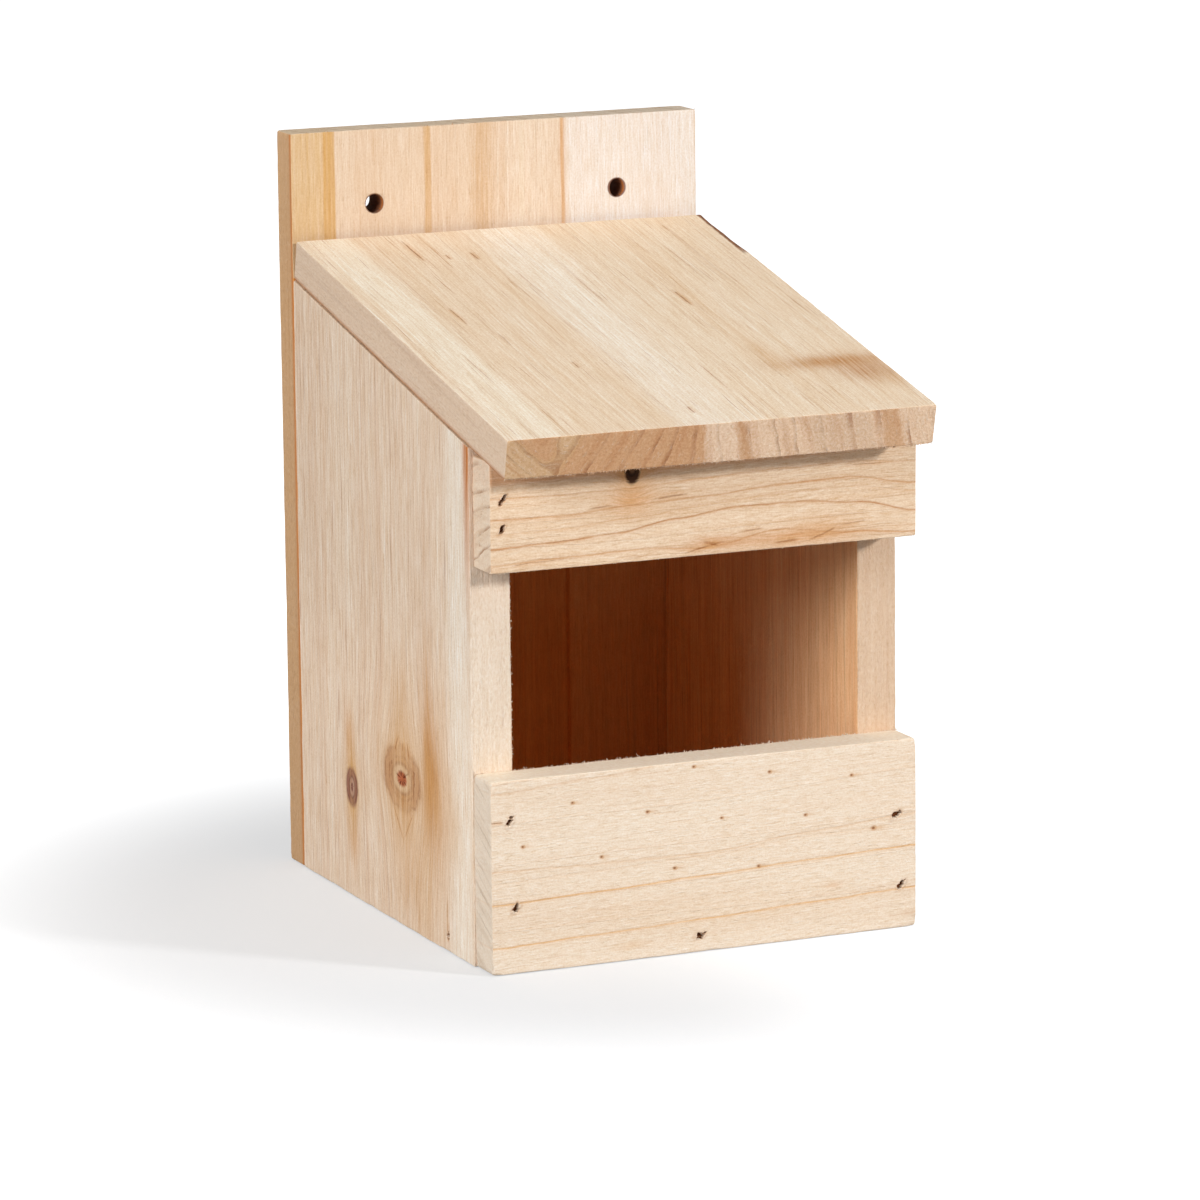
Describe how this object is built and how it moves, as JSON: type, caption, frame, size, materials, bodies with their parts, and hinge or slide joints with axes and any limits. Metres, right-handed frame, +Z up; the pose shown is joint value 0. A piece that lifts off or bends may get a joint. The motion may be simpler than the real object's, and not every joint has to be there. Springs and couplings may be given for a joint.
{
  "type": "birdhouse",
  "caption": "Open-fronted wooden nest box with a sloping overhanging roof, a low front panel, a rail above the opening and a tall back board with hanging holes.",
  "frame": {"origin": "middle of the overall outline, on the plane that the box stands on", "axes": "+Z up; +X to the right of somebody facing the opening; the opening faces -Y and the back board is at +Y"},
  "size_m": [0.12, 0.155, 0.2],
  "materials": {
    "back_board_wood": "untreated sawn softwood, matt",
    "left_side_panel_wood": "untreated sawn softwood, matt",
    "right_side_panel_wood": "untreated sawn softwood, matt",
    "floor_board_wood": "untreated sawn softwood, matt",
    "lower_front_panel_wood": "untreated sawn softwood, matt",
    "upper_front_rail_wood": "untreated sawn softwood, matt",
    "roof_board_wood": "untreated sawn softwood, matt",
    "nail_steel": "plain steel, dull"
  },
  "bodies": {
    "root": {"back_board": "back_board_wood", "left_side_panel": "left_side_panel_wood", "right_side_panel": "right_side_panel_wood", "floor_board": "floor_board_wood", "lower_front_panel": "lower_front_panel_wood", "upper_front_rail": "upper_front_rail_wood", "roof_board": "roof_board_wood", "upper_rail_nails_left": "nail_steel", "upper_rail_nail_right": "nail_steel", "lower_panel_nails_left": "nail_steel", "lower_panel_nails_right": "nail_steel", "lower_panel_floor_nail": "nail_steel", "left_side_floor_nail": "nail_steel", "right_side_floor_nail": "nail_steel", "back_board_nails_left": "nail_steel", "back_board_nails_right": "nail_steel", "back_board_floor_nail": "nail_steel", "roof_nails": "nail_steel"}
  },
  "joints": []
}
